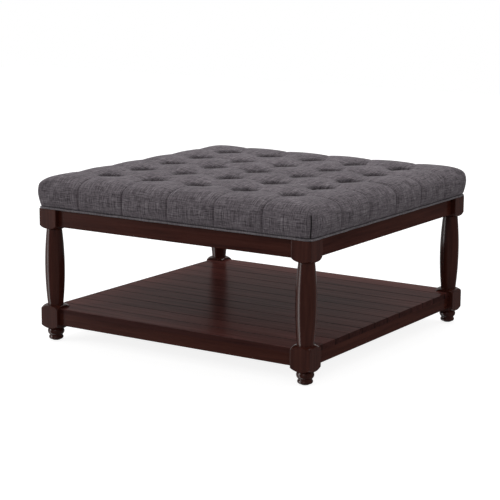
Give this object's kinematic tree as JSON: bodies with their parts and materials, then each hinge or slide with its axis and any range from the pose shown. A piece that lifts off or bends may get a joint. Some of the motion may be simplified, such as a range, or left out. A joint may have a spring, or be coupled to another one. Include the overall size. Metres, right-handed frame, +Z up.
{
  "type": "ottoman coffee table",
  "caption": "Square ottoman coffee table with a grid-tufted upholstered top, turned corner legs and an open boarded shelf near the floor",
  "frame": {"origin": "on the floor, under the middle of the table", "axes": "+Z up, +X along the front edge to the right, +Y from the front to the back"},
  "size_m": [0.918, 0.918, 0.4835],
  "materials": {
    "stained_wood": "dark espresso stain under a semi-gloss lacquer",
    "raw_wood": "planed, unfinished",
    "plywood": "sanded, unfinished",
    "nylon": "moulded, matt",
    "zinc_steel": "zinc plated",
    "foam": "open-cell foam",
    "twine": "waxed cord",
    "seat_fabric": "heathered linen-look weave",
    "welt_fabric": "same weave, cut on the bias over a cord",
    "dust_cloth": "spun-bonded cloth"
  },
  "bodies": {
    "root": {"apron_back": "stained_wood", "apron_dowels": "raw_wood", "apron_front": "stained_wood", "apron_left": "stained_wood", "apron_right": "stained_wood", "brace_screws": "zinc_steel", "corner_brace_back_left": "raw_wood", "corner_brace_back_right": "raw_wood", "corner_brace_front_left": "raw_wood", "corner_brace_front_right": "raw_wood", "deck_screws": "zinc_steel", "dust_cover": "dust_cloth", "foam_pad": "foam", "foot_glide_back_left": "nylon", "foot_glide_back_right": "nylon", "foot_glide_front_left": "nylon", "foot_glide_front_right": "nylon", "hanger_bolts": "zinc_steel", "hanger_nuts": "zinc_steel", "hanger_washers": "zinc_steel", "leg_back_left": "stained_wood", "leg_back_right": "stained_wood", "leg_front_left": "stained_wood", "leg_front_right": "stained_wood", "seat_deck": "plywood", "shelf_batten": "raw_wood", "shelf_board_01": "stained_wood", "shelf_board_02": "stained_wood", "shelf_board_03": "stained_wood", "shelf_board_04": "stained_wood", "shelf_board_05": "stained_wood", "shelf_board_06": "stained_wood", "shelf_board_07": "stained_wood", "shelf_board_08": "stained_wood", "shelf_board_09": "stained_wood", "shelf_board_10": "stained_wood", "shelf_board_11": "stained_wood", "shelf_board_12": "stained_wood", "shelf_rail_back": "stained_wood", "shelf_rail_dowels": "raw_wood", "shelf_rail_front": "stained_wood", "shelf_rail_left": "stained_wood", "shelf_rail_right": "stained_wood", "shelf_screws": "zinc_steel", "tuft_ties": "twine", "tufted_cover": "seat_fabric", "welt_cord": "welt_fabric"}
  },
  "joints": []
}
